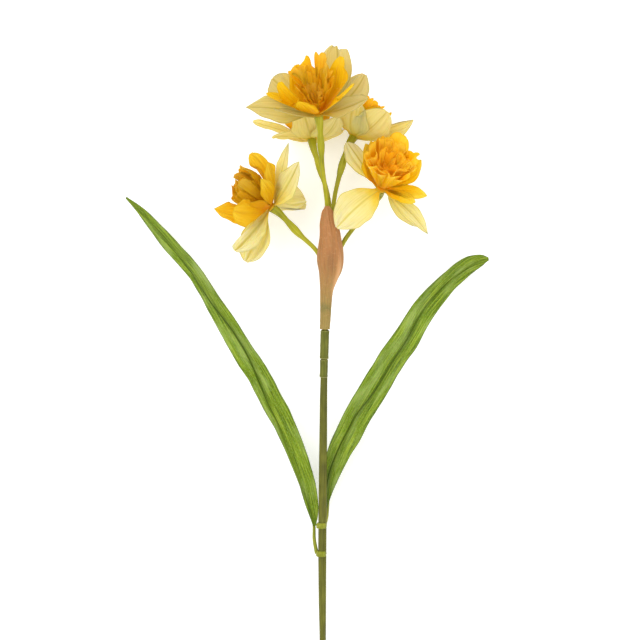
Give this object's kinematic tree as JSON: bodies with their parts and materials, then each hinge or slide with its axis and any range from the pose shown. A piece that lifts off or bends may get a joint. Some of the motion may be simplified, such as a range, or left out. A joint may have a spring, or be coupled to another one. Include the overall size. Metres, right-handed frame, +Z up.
{
  "type": "daffodil flower",
  "caption": "Lying artificial spray of ruffled double daffodil blooms on one wired stem, with a papery spathe and two strap leaves.",
  "frame": {"origin": "centre of the bounding box's base, on the surface that the spray lies on", "axes": "+Y along the stem from its cut end to the blooms, +Z up from the surface, +X to the right when seen from above with the blooms away from the viewer"},
  "size_m": [0.2768, 0.4842, 0.1017],
  "materials": {
    "pale_petal": "thin pale yellow cloth petal, pressed veins",
    "golden_petal": "thin golden yellow cloth petal",
    "corona": "thin orange cloth frill, fringed edge",
    "corona_heart": "thin golden orange cloth frill",
    "stalk_green": "moulded yellow-green plastic",
    "stem_green": "moulded olive green plastic",
    "leaf_green": "printed green cloth, pressed lengthwise veins",
    "spathe_brown": "papery dry brown sheath",
    "steel": "drawn wire"
  },
  "bodies": {
    "root": {"corona_back_left": "corona", "corona_back_right": "corona", "corona_heart_back_left": "corona_heart", "corona_heart_back_right": "corona_heart", "corona_heart_left": "corona_heart", "corona_heart_right": "corona_heart", "corona_heart_top": "corona_heart", "corona_left": "corona", "corona_right": "corona", "corona_top": "corona", "inner_petals_back_left": "golden_petal", "inner_petals_back_right": "golden_petal", "inner_petals_left": "golden_petal", "inner_petals_right": "golden_petal", "inner_petals_top": "golden_petal", "joint_sleeve_lower": "stem_green", "joint_sleeve_upper": "stem_green", "leaf_blade_left": "leaf_green", "leaf_blade_right": "leaf_green", "leaf_collar_left": "stalk_green", "leaf_collar_right": "stalk_green", "main_stem": "stem_green", "outer_petals_back_left": "pale_petal", "outer_petals_back_right": "pale_petal", "outer_petals_left": "pale_petal", "outer_petals_right": "pale_petal", "outer_petals_top": "pale_petal", "pedicel_back_left": "stalk_green", "pedicel_back_right": "stalk_green", "pedicel_left": "stalk_green", "pedicel_right": "stalk_green", "pedicel_top": "stalk_green", "spathe": "spathe_brown", "stem_wire": "steel"}
  },
  "joints": []
}
